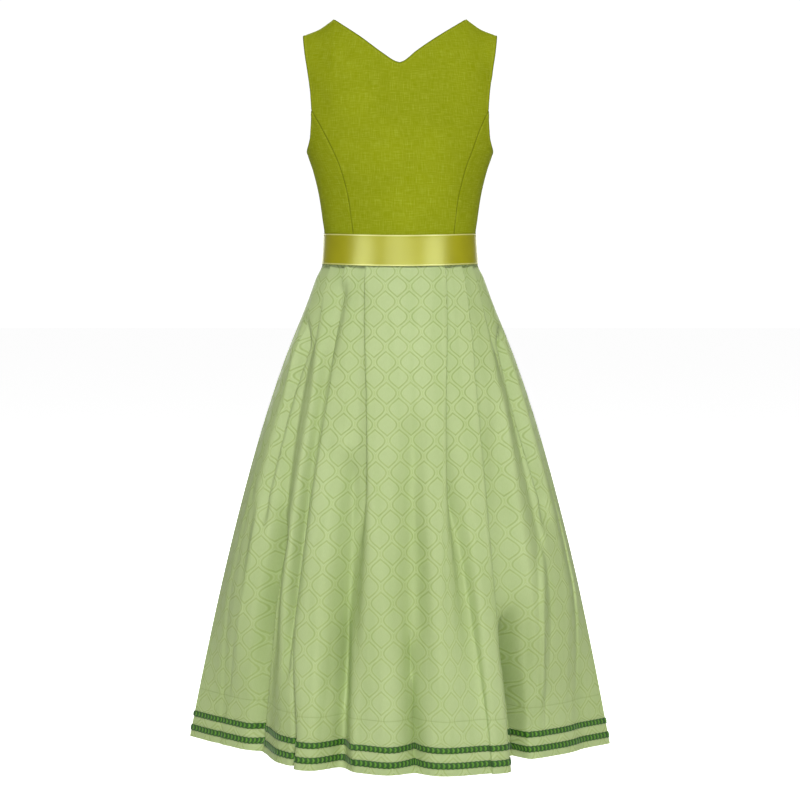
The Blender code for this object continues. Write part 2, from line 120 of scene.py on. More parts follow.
LEFT_PLEATS = {
    "A": [Pleat(25.5, 0, 42, 1.6, 2, 3.8), Pleat(14.4, 0, 26, 3, 34, 5),
          Pleat(9.4, 0, -14, 20, 72, 0), Pleat(8.6, 6, -22, 18, 84, 0)],
    "B": [Pleat(43.9, 0, 34, 5.4, 2, 3.8), Pleat(33.7, 0, 22, 4, 18, 7),
          Pleat(34.3, 2, 16, 14, 9, 18), Pleat(28.2, -2, 14, 8, 14, 16)],
    "C": [Pleat(63.0, 0, 26, 5.0, 2, 3.8), Pleat(43.0, 4, -22, 10, 56, 3),
          Pleat(40.2, 10, -14, 20, 56, 16), Pleat(33.5, 22, -46, 32, 140, 54)],
    "D": [Pleat(79.0, 0, 14, 3.4, 2, 3.8), Pleat(65.0, 0, -8, 2, 30, 2),
          Pleat(61.7, 4, -16, 1.5, 52, 4), Pleat(62.5, 52, -20, -6, 66, 33)],
}
RIGHT_PLEATS = {
    "A": [Pleat(34.3, 0, 42, 1.6, 2, 3.8), Pleat(20.1, 0, 24, 3, 24, 5),
          Pleat(14.4, 0, -14, 11, 50, 2), Pleat(12.7, -3, -36, 6, 68, 0)],
    "B": [Pleat(51.4, 0, 30, 5.4, 2, 3.8), Pleat(35.8, 0, 24, 4, 20, 7),
          Pleat(30.9, 0, 20, 14, 16, 24), Pleat(29.6, 2, 26, 52, 54, 100)],
    "C": [Pleat(67.0, 0, 24, 5.0, 2, 3.8), Pleat(50.3, 2, -22, 9, 48, 4),
          Pleat(48.0, 6, -16, 4, 50, 9), Pleat(43.4, 60, -20, -2, 58, 56)],
    "D": [Pleat(81.0, 0, 12, 3.4, 2, 3.8), Pleat(73.0, 0, -6, 2, 26, 2),
          Pleat(70.0, 4, -12, 1.5, 38, 3), Pleat(64.0, 49, -14, -3, 62, 38)],
}
CentreKey = namedtuple("CentreKey", "deg inset")
CENTRE_KEYS = [
    [CentreKey(-10.6, 0), CentreKey(-5.9, 0), CentreKey(-3.8, 0), CentreKey(-3.0, -2)],
    [CentreKey(1.4, 0), CentreKey(1.6, 2), CentreKey(4.7, 16), CentreKey(4.0, 17)],
    [CentreKey(21.6, 0), CentreKey(12.0, 0), CentreKey(9.6, 1), CentreKey(8.6, -1)],
]
KEYS_PER_PLEAT = 7      # outer edge, its return, middle, inner turn, its end, middle, crest

CREASE_END = 60 * MM            # how far a crease takes to fade out past its ends
CREASE_TOP = (-405 * MM, -450 * MM)             # creases come in between these heights
CREASE_FACING = (0.05, 0.42)    # and fade out as the cloth turns to face sideways
LEAST_FACING = 0.25             # keeps a crease from widening without end there
# Soft creases that the hanging cloth adds: positive height is a ridge, negative a trough.
# `outward` and `inward` are its spreads away from and towards the centre.  Its line runs from
# the waist down as (across, height), seen from straight behind.  All in millimetres.
Crease = namedtuple("Crease", "name height outward inward line")
CREASES = [
    Crease("left centre edge", -1.8, 9, 4, [(-58, -400), (-56, -700)]),
    Crease("left centre valley", -16, 60, 30, [(-79, -745), (-83, -870), (-92, -1050)]),
    Crease("left centre valley foot", -9, 24, 14, [(-84, -1000), (-87, -1150)]),
    Crease("left centre facet", 9, 14, 18, [(-74, -1010), (-73, -1150)]),
    Crease("left lobe", 2, 34, 34, [(-82, -495), (-88, -665), (-111, -790), (-139, -1130)]),
    Crease("left inner valley", -11, 28, 16, [(-94, -460), (-124, -605), (-180, -1020)]),
    Crease("left edge line", -3, 10, 11, [(-152, -775), (-176, -1010)]),
    Crease("left narrow lobe", 1.5, 12, 12, [(-122, -480), (-148, -700)]),
    Crease("left hip valley", -18, 32, 24, [(-155, -535), (-183, -620), (-222, -780)]),
    Crease("left knee valley", -20, 30, 20, [(-190, -840), (-207, -935), (-226, -1150)]),
    Crease("left outer streak", 2.5, 26, 26, [(-175, -565), (-267, -1000)]),
    Crease("left outer valley", -3, 22, 16, [(-238, -810), (-276, -1070)]),
    Crease("middle ridge", 3, 34, 34, [(-19, -925), (-15, -1145)]),
    Crease("middle valley", -11, 34, 30, [(21, -680), (20, -1150)]),
    Crease("middle valley foot", -11, 10, 13, [(17, -1020), (24, -1150)]),
    Crease("middle right ridge", 3, 30, 30, [(39, -775), (72, -1105)]),
    Crease("right centre edge", -1.5, 9, 5, [(77, -400), (77, -800)]),
    Crease("right soft valley", -1.5, 20, 20, [(99, -870), (119, -1080)]),
    Crease("right soft ridge", 2.5, 20, 20, [(122, -900), (139, -1065)]),
    Crease("right inner valley", -8, 24, 44, [(155, -685), (180, -1000)]),
    Crease("right slot", -34, 22, 21, [(171, -1000), (190, -1155)]),
    Crease("right hip valley", -17, 32, 24, [(167, -535), (187, -620), (235, -785)]),
    Crease("right knee fullness", 7, 30, 8, [(223, -890), (222, -1065)]),
    Crease("right streak", 3.5, 22, 22, [(166, -640), (215, -1000)]),
    Crease("right inner wrinkle", -1.8, 12, 12, [(195, -975), (213, -1130)]),
    Crease("right outer wrinkle", -1.5, 9, 9, [(228, -1025), (233, -1110)]),
]

# ---- braids on the hem ----
BraidRow = namedtuple("BraidRow", "name low high")             # heights above the hem
BRAIDS = [
    BraidRow("trim_lower", 10.5 * MM, 20 * MM),
    BraidRow("trim_upper", 33.5 * MM, 42.5 * MM),
]
PLAIT = 7.6 * MM                # length of one plait
PLAIT_SLANT = 1.9               # radians by which its edges run ahead of its middle
Wander = namedtuple("Wander", "swing length start")             # radians, metres, radians
WANDERS = [Wander(0.35, 31 * MM, 0.0), Wander(0.2, 11.7 * MM, 1.3)]     # uneven plaits
BRAID_GROUND = 0.45 * MM        # thickness under the plaits
BRAID_CROWN = 1.15 * MM         # what a plait adds in its middle
BRAID_ROUND = 0.86              # how round the crown is: 0 is flat, 1 falls away to nothing
SCALLOP = 0.35 * MM             # how far the plaits move the edges out and in
BRAID_CLOTH = 10 * MM           # width of a braid in its cloth coordinates

# ---- seams of the bodice ----
# Points are (x, z) in millimetres, from the waist upwards; fronts are mirrored.
BACK_PRINCESS_LEFT = [(-74, -380), (-75.7, -350), (-83, -298), (-93, -258), (-105.4, -226),
                      (-124.3, -188), (-143.2, -154)]
BACK_PRINCESS_RIGHT = [(85.5, -380), (87.4, -350), (92.3, -307), (98.5, -277), (110.9, -235),
                       (126.3, -193), (143.2, -154)]
BACK_ARMHOLE_LOW = [(152.5, -219.5), (150.6, -212), (146.6, -200), (144.4, -178), (143.2, -154)]
BACK_ARMHOLE_HIGH = [(143.2, -154), (145.5, -124), (150.5, -90), (155.7, -60), (160, -27.5)]
FRONT_ARMHOLE_LOW = [(152.5, -219.5), (148, -209), (140, -192), (135, -172), (133.5, -150)]
SHOULDER = [(160, -27.5), (135, -17.5), (109, 0)]
BACK_NECK = [(-109, 0), (-65, -34), (-26, -66), (-6, -79.5), (0, -81), (6, -78.5), (26, -61),
             (65, -31.5), (109, 0)]
FrontRow = namedtuple("FrontRow", "in_x in_z out_x out_z")
FRONT_ROWS = [
    FrontRow(0, -380, 66, -380), FrontRow(0, -350, 68, -350), FrontRow(0, -314, 73.5, -314),
    FrontRow(0, -278, 80, -278), FrontRow(0, -241, 86.5, -241), FrontRow(0, -204, 94.5, -206),
    FrontRow(46, -199, 97.5, -198), FrontRow(72, -184, 105, -183),
    FrontRow(86, -162, 118, -165), FrontRow(94, -135, 133.5, -150),
    FrontRow(101, -90, 137, -108), FrontRow(105, -48, 147, -64), FrontRow(109, 0, 160, -27.5),
]
PRINCESS_TOP = 9                # row where the princess seam meets the armhole
NECK_ROW = 5                    # row where the front neckline starts
BACK_NECK_TIP = 4               # the point of the V in BACK_NECK
SIDE_SEAM = [(124, -355), (127, -330), (133, -290), (142.6, -250), (152.5, -219.5)]
SEAM_ROWS, ARMHOLE_ROWS = 7, 4  # faces of the plain solid up the seams and the armhole
SHOULDER_STEPS, NECK_STEPS, FRONT_STEPS, SIDE_STEPS = 2, 5, 4, 6        # and across panels
SHOULDER_ROLL = 150 * MM        # height over which the torso closes to the shoulder seam

# Rolls beside the open edges and seams: height, distance from the edge and spread.
Roll = namedtuple("Roll", "height away spread")                 # millimetres
EDGE_ROLLS = [Roll(0.55, 1.5, 2.6), Roll(-0.25, 4.6, 2.2)]
SEAM_ROLLS = [Roll(-0.45, 0, 1.8)]
PRESSED_ROLLS = [Roll(0.22, 3, 4)]
SEAM_BAND = 0.5 * MM            # rise over the seam allowances of a side panel
BAND_START, BAND_END = (0.4 * MM, 2.2 * MM), (8.5 * MM, 6.0 * MM)       # from the seam
CALM = (-372 * MM, -348 * MM)   # no relief below the first height, all of it above the second
DRAG_CLEAR = 12 * MM            # drag lines fade out this close to a seam
ON_SHOULDER = 0.5 * MM          # points this close under the shoulder seam lie on it

# Flat size of each panel as cut, and its area, for what shows of it.
Flat = namedtuple("Flat", "width height area")                  # metres


# ---- curves ----
def monotone(xs, ys, x):
    """Smooth interpolation that never overshoots; xs run either way."""
    if xs[0] > xs[-1]:
        xs, ys = xs[::-1], ys[::-1]
    if x <= xs[0]:
        return ys[0]
    if x >= xs[-1]:
        return ys[-1]
    last = len(xs) - 1
    steps = [(ys[i + 1] - ys[i]) / (xs[i + 1] - xs[i]) for i in range(last)]
    slopes = [steps[0]] + [0.0] * (last - 1) + [steps[-1]]
    for i in range(1, last):
        before, after = steps[i - 1], steps[i]
        if before * after > 0:
            slopes[i] = 2 * before * after / (before + after)
    i = max(k for k in range(last) if xs[k] <= x)
    width = xs[i + 1] - xs[i]
    t = (x - xs[i]) / width
    return ((1 + 2 * t) * (1 - t) ** 2 * ys[i] + t * (1 - t) ** 2 * width * slopes[i]
            + t * t * (3 - 2 * t) * ys[i + 1] - t * t * (1 - t) * width * slopes[i + 1])


def oval_at(table, z, front):
    """Half width and half depth of the body at height z, in metres."""
    heights = [row.z * MM for row in table]
    depths = [row.front_depth if front else row.back_depth for row in table]
    return (monotone(heights, [row.half_width * MM for row in table], z),
            monotone(heights, [depth * MM for depth in depths], z))


def along(points, t):
    """Point at share t of a smooth line through the given points."""
    lengths = [0.0]
    for a, b in zip(points, points[1:]):
        lengths.append(lengths[-1] + sqrt((a[0] - b[0]) ** 2 + (a[1] - b[1]) ** 2))
    at = t * lengths[-1]
    return tuple(monotone(lengths, [p[k] for p in points], at) for k in (0, 1))


def smoothstep(low, high, value):
    """Smooth share, from 0 to 1, of the way from low to high; low may be the larger."""
    t = np.clip((value - low) / (high - low), 0.0, 1.0)
    return t * t * (3 - 2 * t)


def bump(distance, spread):
    """Bell of height one, `spread` wide to each side."""
    return np.exp(-(distance / (0.5 * spread)) ** 2)


# ---- meshes ----
def grid_normals(points):
    """Unit normals of a grid of points, from its neighbours both ways."""
    down = np.gradient(points, axis=0)
    across = np.gradient(points, axis=1)
    normals = np.cross(across, down)
    return normals / np.maximum(np.linalg.norm(normals, axis=2, keepdims=True), 1e-12)


def shell(name, inner, outer, cloth, slot, marks=None):
    """One closed thin body between two grids, with cloth coordinates in metres on a UV map."""
    rows, cols = inner.shape[:2]
    size = rows * cols
    index = np.arange(size).reshape(rows, cols)
    a, b, d, e = index[:-1, :-1], index[:-1, 1:], index[1:, :-1], index[1:, 1:]
    near = np.stack([a, b, e, d], axis=2).reshape(-1, 4)
    far = size + np.stack([a, d, e, b], axis=2).reshape(-1, 4)
    ring = np.concatenate([index[0, :-1], index[:-1, -1], index[-1, :0:-1], index[:0:-1, 0]])
    after = np.roll(ring, -1)
    rim = np.stack([after, ring, size + ring, size + after], axis=1)
    faces = np.concatenate([near, far, rim])
    points = np.concatenate([inner.reshape(-1, 3), outer.reshape(-1, 3)])
    mesh = bpy.data.meshes.new(name)
    mesh.from_pydata(points.tolist(), [], faces.tolist())
    mesh.update()
    corner = faces.reshape(-1) % size
    for label, values in [("cloth", cloth)] + list((marks or {}).items()):
        layer = mesh.uv_layers.new(name=label)
        layer.data.foreach_set("uv", values.reshape(-1, 2)[corner].astype(np.float32).reshape(-1))
    tri_a, tri_b, tri_c = points[faces[:, 0]], points[faces[:, 1]], points[faces[:, 2]]
    if np.einsum("ij,ij->", tri_a, np.cross(tri_b, tri_c)) < 0:
        mesh.flip_normals()
    mesh.shade_smooth()
    mesh.set_sharp_from_angle(angle=SHARP)
    piece = placed(name, mesh, (0.0, 0.0, 0.0))
    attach(piece, "root")
    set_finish(piece, slot)
    return piece


# ---- skirt ----
def level_values(values, z):
    """Value at height z between those given for the four levels."""
    return monotone(LEVELS, values, z)


def between(first, second):
    return (first[0] + second[0]) / 2, (first[1] + second[1]) / 2


def pleat_keys(levels, z, radius, front):
    """Corners of one pleat's section, as (angle, inset, rounding)."""
    edge = radians(level_values([p.edge_deg for p in levels], z))
    inset, tuck, drop, crest_out, crest_in = (
        level_values([p[i] * MM for p in levels], z) for i in range(1, 6))
    half_width, depth = oval_at(SKIRT_OVAL, z, front)

    def turned(out, angle=edge):
        return out / sqrt((half_width * cos(angle)) ** 2 + (depth * sin(angle)) ** 2)

    lean = atan2(drop, -tuck) / 2
    step_out, step_in = 2 * radius * cos(lean), 2 * radius * sin(lean)
    second = (step_out, inset + step_in)
    third = (step_out - tuck, inset + step_in + drop)
    fourth = (2 * step_out - tuck, inset + 2 * step_in + drop)
    crest = (crest_out, crest_in)
    places = [((0, inset), radius), (second, radius), (between(second, third), None),
              (third, radius), (fourth, radius), (between(fourth, crest), None), (crest, None)]
    return [(edge + turned(out), deep, rounding) for (out, deep), rounding in places]


def fold_keys(z, front):
    """Corner points of the skirt's section at height z, as (angle, inset, rounding)."""
    radius = level_values(FOLD_RADIUS, z)
    sides = (RIGHT_PLEATS, LEFT_PLEATS) if front else (LEFT_PLEATS, RIGHT_PLEATS)
    keys = []
    for side, pleats in zip((-1, 1), sides):
        run = []
        for levels in pleats.values():
            run.extend(pleat_keys(levels, z, radius, front))
        keys.append([(side * angle, inset, rounding) for angle, inset, rounding in run])
    centre = []
    for levels in CENTRE_KEYS:
        mirror = -1 if front else 1
        angle = mirror * radians(level_values([key.deg for key in levels], z))
        centre.append((angle, level_values([key.inset * MM for key in levels], z), None))
    if front:
        centre.reverse()
    return keys[0][::-1] + centre + keys[1]


def cut_point(corner, neighbour, rounding, softness):
    """Where a rounded corner leaves the straight line towards its neighbour."""
    span = neighbour - corner
    half = span.length / 2
    if rounding is None:
        cut = half
    else:
        tight = min(rounding, half)
        cut = tight + softness * (half - tight)
    return corner + span.normalized() * cut


def skirt_section(z, front):
    """Points (x, y) of the skirt's middle line at height z, and the corner each belongs to."""
    half_width, depth = oval_at(SKIRT_OVAL, z, front)
    facing = 1 if front else -1
    softness = level_values(SOFTNESS, z)
    seam_angle = pi / 2 - SEAM_GAP / 2 / depth
    corners = [(-seam_angle, 0.0, None)] + fold_keys(z, front) + [(seam_angle, 0.0, None)]
    flat = []
    for angle, inset, rounding in corners:
        along_x, along_y = half_width * sin(angle), facing * depth * cos(angle)
        out = Vector((along_x / half_width ** 2, along_y / depth ** 2)).normalized()
        flat.append((Vector((along_x, along_y)) - out * inset, rounding))
    points, owners = [flat[0][0]], [0]
    for number, ((before, _), (corner, rounding), (after, _)) in enumerate(
            zip(flat, flat[1:], flat[2:]), 1):
        start = cut_point(corner, before, rounding, softness)
        end = cut_point(corner, after, rounding, softness)
        steps = FOLD_POINTS if rounding else FOLD_POINTS // 2
        for step in range(steps):
            t = (step + 0.5) / steps
            points.append(start * (1 - t) ** 2 + corner * 2 * t * (1 - t) + end * t * t)
            owners.append(number)
    points.append(flat[-1][0])
    owners.append(len(flat) - 1)
    return np.array([tuple(p) for p in points]), owners


def crease_height(across, facing, z, front):
    """How far the creases lift or sink the cloth at one height.  `across` is its distance from
    the centre line, `facing` how squarely it faces straight back, from 0 to 1."""
    seen = -across if front else across
    total = np.zeros_like(across)
    for crease in CREASES:
        heights = [place[1] * MM for place in crease.line]
        if not heights[-1] - CREASE_END < z < heights[0] + CREASE_END:
            continue
        fade = (smoothstep(heights[0] + CREASE_END, heights[0], z)
                * smoothstep(heights[-1] - CREASE_END, heights[-1], z))
        here = monotone(heights, [place[0] * MM for place in crease.line], z)
        apart = (seen - here) / np.maximum(facing, LEAST_FACING) * (1 if here > 0 else -1)
        spread = np.where(apart > 0, crease.outward, crease.inward) * MM
        total += crease.height * MM * fade * bump(apart, spread)
    return total * smoothstep(*CREASE_FACING, facing) * smoothstep(*CREASE_TOP, z)


def hem_tilt(x, z):
    """The hem rises a little towards -X; the rise fades out towards the knee."""
    knee = LEVELS[2]
    share = min(1.0, max(0.0, (knee - z) / (knee - (HEM_Z + HEM_BAND))))
    return HEM_TILT * x * share


def skirt_surface(front):
    """Middle surface of one width of the skirt, and its cloth coordinates."""
    top, band_top = WAIST_Z - SEAM_GAP / 2, HEM_Z + HEM_BAND
    heights = [top + (band_top - top) * (0.35 * s + 0.65 * s * s)       # closer near the waist
               for s in np.linspace(0, 1, SKIRT_ROWS)]
    rows = []
    for z in heights:
        points, owners = skirt_section(z, front)
        rows.append(points)
    widen = oval_at(SKIRT_OVAL, HEM_Z, front)[0] / oval_at(SKIRT_OVAL, band_top, front)[0]
    for share in np.linspace(0, 1, BAND_ROWS)[1:]:
        heights.append(band_top - HEM_BAND * share)
        rows.append(rows[SKIRT_ROWS - 1] * (1 + (widen - 1) * share))
    coarse = np.array(rows)
    spans = np.linalg.norm(np.diff(coarse, axis=1), axis=2).max(axis=0)
    columns, owner = [], []
    for i, pieces in enumerate(np.maximum(1, np.ceil(spans / SKIRT_STEP)).astype(int)):
        for t in np.arange(pieces) / pieces:
            columns.append(coarse[:, i] * (1 - t) + coarse[:, i + 1] * t)
            owner.append(owners[i])
    columns.append(coarse[:, -1])
    owner.append(owners[-1])
    flat = np.stack(columns, axis=1)
    cloth = cloth_coordinates(flat, np.array(heights), np.array(owner))
    points = np.zeros((*flat.shape[:2], 3))
    for r, z in enumerate(heights):
        half_width, depth = oval_at(SKIRT_OVAL, z, front)
        out = flat[r] / np.array([half_width ** 2, depth ** 2])
        out /= np.linalg.norm(out, axis=1, keepdims=True)
        lift = crease_height(flat[r, :, 0], np.abs(out[:, 1]), z, front)
        points[r, :, :2] = flat[r] + out * lift[:, None]
        points[r, :, 2] = [z + hem_tilt(x, z) for x in flat[r, :, 0]]
    return points, cloth


def cloth_coordinates(flat, heights, owner):
    """Distance across and up the cloth as it was woven.  Each panel that shows keeps its own
    threads straight; what a pleat takes up lies in its hidden turns."""
    arc = np.zeros(flat.shape[:2])
    arc[:, 1:] = np.cumsum(np.linalg.norm(np.diff(flat, axis=1), axis=2), axis=1)
    first = {number: int(np.argmax(owner == number)) for number in np.unique(owner)}
    # Corners count from the left seam.  In each run of seven, a panel that shows ends at
    # number 4 and the next one starts at number 7; what lies between is hidden or turned.
    runs = KEYS_PER_PLEAT * np.arange(len(LEFT_PLEATS) + len(RIGHT_PLEATS))
    starts = [0] + [first[corner] for corner in runs + 7]
    ends = [first[corner] for corner in runs + 4] + [flat.shape[1] - 1]
    across = np.zeros_like(arc)
    for start, end in zip(starts, ends):
        middle = start + int(np.argmin(np.abs(arc[-1, start:end + 1]
                                              - (arc[-1, start] + arc[-1, end]) / 2)))
        across[:, start:end + 1] = (arc[-1, middle] - arc[-1, -1] / 2
                                    + arc[:, start:end + 1] - arc[:, middle:middle + 1])
    for end, start in zip(ends, starts[1:]):
        share = ((arc[:, end:start + 1] - arc[:, end:end + 1])
                 / (arc[:, start:start + 1] - arc[:, end:end + 1]))
        across[:, end:start + 1] = (across[:, end:end + 1] * (1 - share)
                                    + across[:, start:start + 1] * share)
    reach = np.abs(flat[:, [0, -1], 0]).mean(axis=1)
    fall = np.sqrt(np.gradient(heights) ** 2 + np.gradient(reach) ** 2)
    up = np.cumsum(fall[::-1])[::-1] - fall[-1]
    return np.stack([across, np.repeat(up[:, None], flat.shape[1], axis=1)], axis=2)


def make_skirt(front):
    """One width of the skirt, with the middle surface and normals that its braids follow."""
    middle, cloth = skirt_surface(front)
    normals = grid_normals(middle)
    outside = 1 if front else -1
    if normals[len(normals) // 2, normals.shape[1] // 2, 1] * outside < 0:
        normals = -normals
    for column in (0, -1):      # the side seams stay flat against each other
        normals[:, column, 1] = 0.0
        normals[:, column] /= np.linalg.norm(normals[:, column], axis=1, keepdims=True)
    name = "skirt_front" if front else "skirt_back"
    half = normals * SKIRT_WALL / 2
    piece = shell(name + "_cloth", middle - half, middle + half, cloth, "skirt_jacquard")
    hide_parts(name)
    return piece, middle, normals


# ---- braids ----
def make_braid(row, front, middle, normals, skirt):
    """A ruched braid that follows every fold of the hem."""
    band, band_normals = middle[-BAND_ROWS:], normals[-BAND_ROWS:]
    steps = np.linalg.norm(np.diff(band[BAND_ROWS // 2], axis=0), axis=1)
    arc = np.concatenate([[0.0], np.cumsum(steps)])
    stations = np.linspace(0, arc[-1], int(arc[-1] / BRAID_STEP))
    across = np.linspace(-1, 1, BRAID_POINTS)       # from the braid's top edge to its bottom
    grid, grid_out = [], []
    for w in across:
        height = (row.low + row.high) / 2 - w * (row.high - row.low) / 2
        place = (1 - height / HEM_BAND) * (BAND_ROWS - 1)
        low = min(int(place), BAND_ROWS - 2)
        share = place - low
        for rows, kept in ((band, grid), (band_normals, grid_out)):
            line = rows[low] * (1 - share) + rows[low + 1] * share
            kept.append(np.stack([np.interp(stations, arc, line[:, k]) for k in range(3)], axis=1))
    base, out = np.array(grid), np.array(grid_out)
    out /= np.linalg.norm(out, axis=2, keepdims=True)
    w = across[:, None]
    wander = sum(swing * np.sin(stations / length + start) for swing, length, start in WANDERS)
    phase = 2 * pi * stations[None, :] / PLAIT + wander[None, :] + PLAIT_SLANT * np.abs(w)
    plait = 0.5 + 0.5 * np.cos(phase)
    crown = np.sqrt(1 - BRAID_ROUND * w * w)
    thick = BRAID_GROUND + BRAID_CROWN * crown * (0.35 + 0.65 * plait)
    base[:, :, 2] += SCALLOP * w * w * np.sign(-w) * np.cos(phase)
    start = SKIRT_WALL / 2 + TRIM_STANDOFF
    name = f"{row.name}_{'front' if front else 'back'}"
    cloth = np.stack(np.broadcast_arrays(stations[None, :], (w + 1) / 2 * BRAID_CLOTH), axis=2)
    # The ruche map carries how high each plait stands; the braid's painted shade and highlight
    # follow it.
    ruche = np.stack([plait * crown, plait * crown], axis=2)
    piece = shell(name + "_braid", base + out * start, base + out * (start + thick[:, :, None]),
                  cloth, "hem_braid", {"ruche": ruche})
    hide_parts(name)
    return piece


# ---- bodice ----
def shoulder_height(x):
    """Height of the shoulder seam over the point x."""
    line = [(p[0] * MM, p[1] * MM) for p in SHOULDER]
    return monotone([p[0] for p in line], [p[1] for p in line], abs(x))


def torso_point(angle, z, front):
    """Point of the bodice's middle surface; angle runs from one side seam to the other."""
    half_width, depth = oval_at(TORSO, z, front)
    x = half_width * sin(angle)
    below = max(0.0, shoulder_height(x) - z)
    open_share = min(1.0, below / SHOULDER_ROLL)
    closing = sqrt(max(0.0, 1 - (1 - open_share) ** 2))
    return Vector((x, (1 if front else -1) * depth * cos(angle) * closing, z))


def torso_normal(angle, z, front):
    """Outward normal of the torso, from two short steps along it."""
    turn, rise = 0.01, 1.5 * MM
    here = torso_point(angle, z, front)
    across = torso_point(angle + turn, z, front) - torso_point(angle - turn, z, front)
    if z + rise > shoulder_height(here.x):
        up = here - torso_point(angle, z - rise, front)
    else:
        up = torso_point(angle, z + rise, front) - here
    normal = across.cross(up).normalized()
    return -normal if front else normal


def surface_place(x, z):
    """(angle, z) of a seam point given by its x and z in millimetres."""
    half_width = oval_at(TORSO, z * MM, False)[0]
    return asin(max(-1.0, min(1.0, x * MM / half_width))), z * MM


Edge = namedtuple("Edge", "units at")       # its length in faces, its place at a position


def curve(*stretches):
    """An edge of smooth stretches, each given as its points and its length."""
    spans = [([surface_place(*p) for p in points], units) for points, units in stretches]

    def at(position):
        for places, units in spans:
            if position <= units + 1e-9:
                return along(places, min(1.0, max(0.0, position / units)))
            position -= units
        return spans[-1][0][-1]
    return Edge(sum(units for _, units in spans), at)


def stepped(points, breaks=()):
    """An edge through one point for each unit, with sharp turns only at the given breaks."""
    places = [surface_place(*p) for p in points]
    last = len(points) - 1
    ends = [0, *breaks, last]

    def at(position):
        for low, high in zip(ends, ends[1:]):
            if position <= high + 1e-9:
                steps, run = list(range(low, high + 1)), places[low:high + 1]
                return tuple(monotone(steps, [p[k] for p in run], position) for k in (0, 1))
        return places[-1]
    return Edge(last, at)


def turned(edge, mirror, backwards=False):
    """An edge mirrored and/or run backwards."""
    def at(position):
        angle, z = edge.at(edge.units - position if backwards else position)
        return (-angle if mirror else angle), z
    return Edge(edge.units, at)


def seam_edge(points, units=SEAM_ROWS):
    """Stretches of a seam whose first face, under the ribbon, is straight."""
    return [(points[:2], 1), (points[1:], units - 1)]


def mirrored(points):
    return [(-x, z) for x, z in points]


CROWDING = (0.22, 0.45, 0.7, 1.35, 1.7)         # extra positions near an edge, in fine faces


def crowded(low, high, ends=(True, True)):
    """Positions from low to high, closer together at the ends that ask for it."""
    steps = max(2, int(round((high - low) * FINE)))
    plain = np.linspace(low, high, steps + 1)
    extra = []
    for near, wanted, sign in ((low, ends[0], 1), (high, ends[1], -1)):
        if wanted:
            extra += [near + sign * step / FINE for step in CROWDING]
    return np.array(sorted({round(float(v), 6) for v in [*plain, *extra] if low <= v <= high}))


def row_edges():
    """Inner edge, outer edge and princess seam of a front panel, from its rows."""
    inner = [(row.in_x, row.in_z) for row in FRONT_ROWS]
    outer = [(row.out_x, row.out_z) for row in FRONT_ROWS]
    return inner, outer, outer[:PRINCESS_TOP + 1]


def seam_lines():
    """Open edges and seams of the bodice as dense lines in space, each with its side."""
    def dense(edge, front):
        places = np.linspace(0, edge.units, STITCH_POINTS * edge.units)
        return front, np.array([tuple(torso_point(*edge.at(place), front)) for place in places])

    inner, outer, princess = row_edges()
    armhole = curve((BACK_ARMHOLE_LOW, ARMHOLE_ROWS), (BACK_ARMHOLE_HIGH, ARMHOLE_ROWS))
    front_open = (curve((FRONT_ARMHOLE_LOW, ARMHOLE_ROWS)), stepped(outer[PRINCESS_TOP:]),
                  stepped(inner[NECK_ROW:]))
    opened, sewn = [dense(curve((BACK_NECK, 2 * NECK_STEPS)), False)], []
    for mirror in (False, True):
        opened.append(dense(turned(armhole, mirror), False))
        opened += [dense(turned(edge, mirror), True) for edge in front_open]
        sewn.append(dense(turned(stepped(princess), mirror), True))
    for points in (BACK_PRINCESS_LEFT, BACK_PRINCESS_RIGHT):
        sewn.append(dense(curve((points, SEAM_ROWS + 1)), False))
    return opened, sewn


BLOCK = 4000                    # points measured at a time
FAR = 1.0                       # more than any distance on the bodice


def nearest(points, lines, front):
    """Distance from each point to the nearest of the lines on its side of the body."""
    flat = points.reshape(-1, 3)
    best = np.full(len(flat), FAR)
    for on_front, line in lines:
        if on_front != front:
            continue
        for start in range(0, len(flat), BLOCK):
            part = slice(start, start + BLOCK)
            apart = np.linalg.norm(flat[part, None, :] - line[None, :, :], axis=2).min(axis=1)
            best[part] = np.minimum(best[part], apart)
    return best.reshape(points.shape[:2])


# Soft drag lines of the worn bodice: height, spread, and the line's (x, z) places in millimetres.
Drag = namedtuple("Drag", "height spread front line")
DRAGS = [
    Drag(2.2, 30, False, [(-150, -100), (-105, -92), (-60, -98)]),
    Drag(-1.3, 14, False, [(-136, -118), (-112, -162)]),
    Drag(2.2, 28, False, [(150, -106), (120, -90), (82, -72)]),
    Drag(-1.2, 16, False, [(140, -128), (100, -168)]),
    Drag(-0.9, 16, False, [(-60, -330), (0, -318), (58, -332)]),
    Drag(1.2, 20, True, [(-128, -160), (-84, -200)]),
    Drag(1.2, 20, True, [(128, -165), (86, -205)]),
    Drag(-0.9, 16, True, [(-70, -335), (0, -322), (66, -336)]),
]


def drag_height(points, front):
    """How far the drag lines lift or sink the cloth."""
    total = np.zeros(points.shape[:2])
    for drag in DRAGS:
        if drag.front != front:
            continue
        line = np.array(drag.line, float) * MM
        dense = np.concatenate([np.linspace(a, b, 12) for a, b in zip(line, line[1:])])
        flat = points[:, :, [0, 2]].reshape(-1, 2)
        gaps = np.linalg.norm(flat[:, None, :] - dense[None, :, :], axis=2)
        place = gaps.argmin(axis=1) / (len(dense) - 1)
        fade = np.sin(pi * np.clip(place, 0, 1)) ** 0.7
        total += (drag.height * MM * bump(gaps.min(axis=1), drag.spread * MM) * fade
                  ).reshape(total.shape)
    return total


def rolled(distance, rolls):
    """Height of the rolls beside an edge or seam."""
    return sum(roll.height * MM * bump(distance - roll.away * MM, roll.spread * MM)
               for roll in rolls)


